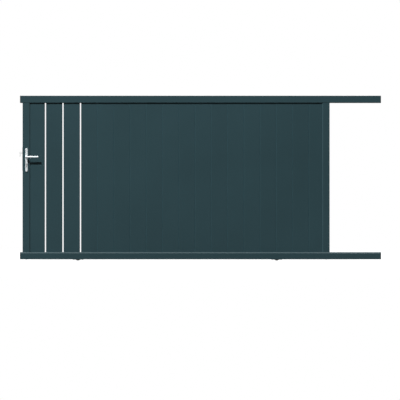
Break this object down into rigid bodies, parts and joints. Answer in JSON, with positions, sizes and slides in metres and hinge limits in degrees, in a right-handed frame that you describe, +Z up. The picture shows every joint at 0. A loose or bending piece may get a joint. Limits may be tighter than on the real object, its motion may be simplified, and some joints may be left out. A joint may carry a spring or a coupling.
{
  "type": "sliding gate",
  "caption": "Sliding driveway gate with upright hollow board infill, see-through slots by the lever handle, hook lock, tail and grooved wheels.",
  "frame": {"origin": "middle of the flat underside of the bottom rail", "axes": "+X along the gate toward its tail, +Y from the front face to the rear face, +Z up"},
  "size_m": [3.556, 0.162, 1.621],
  "materials": {
    "frame_coating": "satin powder coat",
    "board_coating": "satin powder coat",
    "cap_plastic": "fine texture",
    "handle_satin": "satin anodised",
    "lock_steel": "brushed",
    "cylinder_nickel": "satin nickel",
    "wheel_steel": "zinc plated",
    "carriage_plastic": "moulded"
  },
  "bodies": {
    "gate": {"top_rail": "frame_coating", "bottom_rail": "frame_coating", "closing_stile": "frame_coating", "rear_stile": "frame_coating", "infill_board_01": "board_coating", "infill_board_02": "board_coating", "infill_board_03": "board_coating", "infill_board_04": "board_coating", "infill_board_05": "board_coating", "infill_board_06": "board_coating", "infill_board_07": "board_coating", "infill_board_08": "board_coating", "infill_board_09": "board_coating", "infill_board_10": "board_coating", "infill_board_11": "board_coating", "infill_board_12": "board_coating", "infill_board_13": "board_coating", "infill_board_14": "board_coating", "infill_board_15": "board_coating", "infill_board_16": "board_coating", "infill_board_17": "board_coating", "infill_board_18": "board_coating", "top_cap_left": "cap_plastic", "top_cap_right": "cap_plastic", "bottom_cap_left": "cap_plastic", "bottom_cap_right": "cap_plastic", "wheel_carriage_left": "carriage_plastic", "wheel_axle_left": "lock_steel", "wheel_carriage_right": "carriage_plastic", "wheel_axle_right": "lock_steel", "handle_plate_front": "handle_satin", "handle_plate_rear": "handle_satin", "lock_case": "lock_steel", "lock_faceplate": "lock_steel", "hook_pivot": "lock_steel", "lock_cylinder": "cylinder_nickel"},
    "left_wheel": {"wheel_left": "wheel_steel"},
    "right_wheel": {"wheel_right": "wheel_steel"},
    "lever_handle": {"lever_front": "handle_satin", "lever_rear": "handle_satin", "spindle": "lock_steel"},
    "hook": {"hook_bolt": "lock_steel"}
  },
  "joints": [
    {"name": "wheel_left_spin", "type": "hinge", "parent": "gate", "child": "left_wheel", "pos_m": [-1.205, 0, 0.018], "axis": [0, 1, 0], "continuous": true},
    {"name": "wheel_right_spin", "type": "hinge", "parent": "gate", "child": "right_wheel", "pos_m": [0.75, 0, 0.018], "axis": [0, 1, 0], "continuous": true},
    {"name": "lever_turn", "type": "hinge", "parent": "gate", "child": "lever_handle", "pos_m": [-1.711, 0, 1.006], "axis": [0, 1, 0], "range_deg": [0, 45], "stiffness_Nm_per_rad": 1.5, "springref_deg": -17.19},
    {"name": "hook_lift", "type": "hinge", "parent": "gate", "child": "hook", "pos_m": [-1.722, 0, 1.031], "axis": [0, 1, 0], "range_deg": [0, 27]}
  ],
  "couplings": [
    {"joint": "hook_lift", "follows": "lever_turn", "ratio": 0.6}
  ]
}
